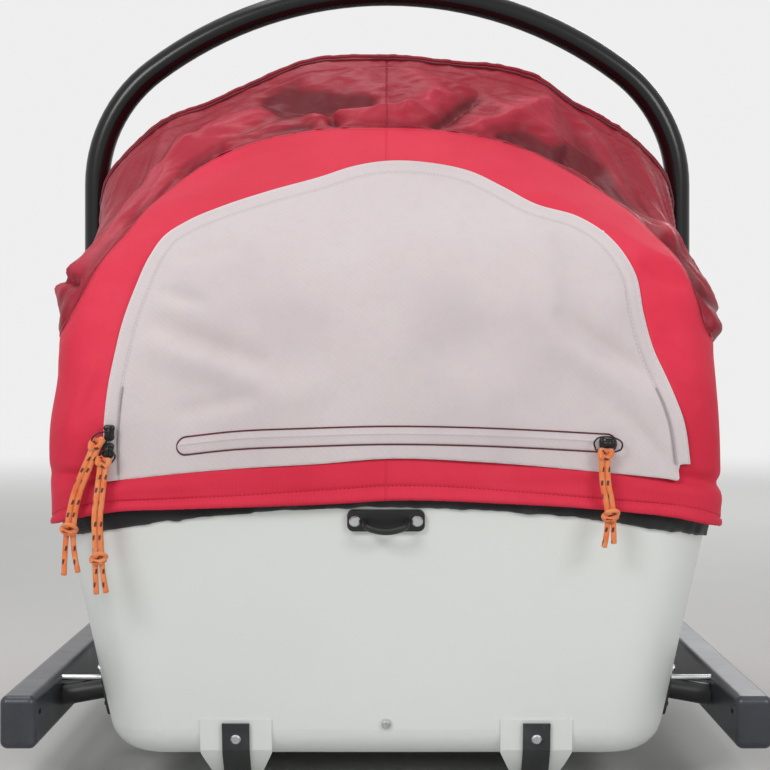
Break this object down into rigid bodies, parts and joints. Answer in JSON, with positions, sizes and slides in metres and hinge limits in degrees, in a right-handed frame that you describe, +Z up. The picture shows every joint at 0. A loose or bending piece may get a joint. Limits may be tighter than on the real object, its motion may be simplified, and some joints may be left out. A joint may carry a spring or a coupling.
{
  "type": "pulk sled",
  "caption": "Child carrier pulk: moulded hull on runners, zipped fabric canopy over a seat, hinged roll bar, side arms for draw shafts and cord zip pulls.",
  "frame": {"origin": "centre of the footprint, on the snow under the runners", "axes": "+Y forward to the bow, +X to the right seen from behind, +Z up"},
  "size_m": [0.6136, 1.2271, 0.7225],
  "materials": {
    "hull_white": "semi-gloss moulded polyethylene",
    "trim_black": "satin rubber edge profile",
    "strip_dark": "dull slippery plastic",
    "steel": "plain stainless",
    "eye_black": "satin black",
    "red_cloth": "bonded softshell",
    "hood_cloth": "thin crinkled nylon",
    "panel_cloth": "grey softshell",
    "zip_tape": "woven tape with moulded coil",
    "zip_metal": "black enamel",
    "pull_cord": "braided accessory cord",
    "clear_film": "clear flexible film",
    "bow_rod": "pultruded glass fibre rod",
    "socket_black": "moulded",
    "arm_grey": "textured dark grey moulding",
    "socket_metal": "anodised tube",
    "bracket_black": "moulded",
    "bar_black": "gloss black powder coat",
    "seat_grey": "moulded sheet",
    "seat_fabric": "padded polyester",
    "strap_web": "woven webbing",
    "buckle_black": "moulded",
    "washer_pale": "moulded"
  },
  "bodies": {
    "root": {"hull": "hull_white", "rim_trim": "trim_black", "runner_strip_left": "strip_dark", "runner_strip_right": "strip_dark", "tow_eye": "eye_black", "drain_washer": "washer_pale", "transom_screws": "steel", "canopy_rear": "red_cloth", "canopy_hood": "hood_cloth", "canopy_front": "red_cloth", "window": "clear_film", "rear_bow": "bow_rod", "front_bow": "bow_rod", "bow_sockets": "socket_black", "rear_panel": "panel_cloth", "pocket_zip": "zip_tape", "side_zip_left": "zip_tape", "side_zip_right": "zip_tape", "hood_piping": "hood_cloth", "bracket_left": "bracket_black", "stop_rod_left": "steel", "bracket_right": "bracket_black", "stop_rod_right": "steel", "bracket_screws": "steel", "bar_hub_left": "bracket_black", "bar_hub_right": "bracket_black", "seat_shell": "seat_grey", "seat_cushion": "seat_fabric", "back_cushion": "seat_fabric", "harness_strap_left": "strap_web", "harness_strap_right": "strap_web", "crotch_strap": "strap_web", "harness_buckle": "buckle_black"},
    "roll_bar": {"bar_tube": "bar_black", "bar_foot_left": "bracket_black", "bar_foot_right": "bracket_black"},
    "arm_left": {"arm_inner_shell_left": "arm_grey", "arm_outer_shell_left": "arm_grey", "shaft_socket_left": "socket_metal", "arm_screws_left": "steel"},
    "arm_right": {"arm_inner_shell_right": "arm_grey", "arm_outer_shell_right": "arm_grey", "shaft_socket_right": "socket_metal", "arm_screws_right": "steel"},
    "side_slider_upper_body": {"side_slider_upper": "zip_metal", "side_slider_upper_strand_a": "pull_cord", "side_slider_upper_strand_b": "pull_cord", "side_slider_upper_knot": "pull_cord"},
    "side_slider_lower_body": {"side_slider_lower": "zip_metal", "side_slider_lower_strand_a": "pull_cord", "side_slider_lower_strand_b": "pull_cord", "side_slider_lower_knot": "pull_cord"},
    "pocket_slider_body": {"pocket_slider": "zip_metal", "pocket_slider_strand_a": "pull_cord", "pocket_slider_strand_b": "pull_cord", "pocket_slider_knot": "pull_cord"}
  },
  "joints": [
    {"name": "roll_bar_lean", "type": "hinge", "parent": "root", "child": "roll_bar", "pos_m": [0, -0.219, 0.11], "axis": [1, 0, 0], "range_deg": [0, 40]},
    {"name": "arm_lift_left", "type": "hinge", "parent": "root", "child": "arm_left", "pos_m": [-0.2905, -0.462, 0.066], "axis": [1, 0, 0], "range_deg": [0, 9]},
    {"name": "arm_lift_right", "type": "hinge", "parent": "root", "child": "arm_right", "pos_m": [0.2905, -0.462, 0.066], "axis": [1, 0, 0], "range_deg": [0, 9]},
    {"name": "side_slider_upper_run", "type": "slide", "parent": "root", "child": "side_slider_upper_body", "axis": [0, 0, 1], "range_m": [0, 0.03]},
    {"name": "side_slider_lower_run", "type": "slide", "parent": "root", "child": "side_slider_lower_body", "axis": [0, 0, 1], "range_m": [-0.006, 0]},
    {"name": "pocket_slider_run", "type": "slide", "parent": "root", "child": "pocket_slider_body", "axis": [1, 0, 0], "range_m": [-0.31, 0]}
  ]
}
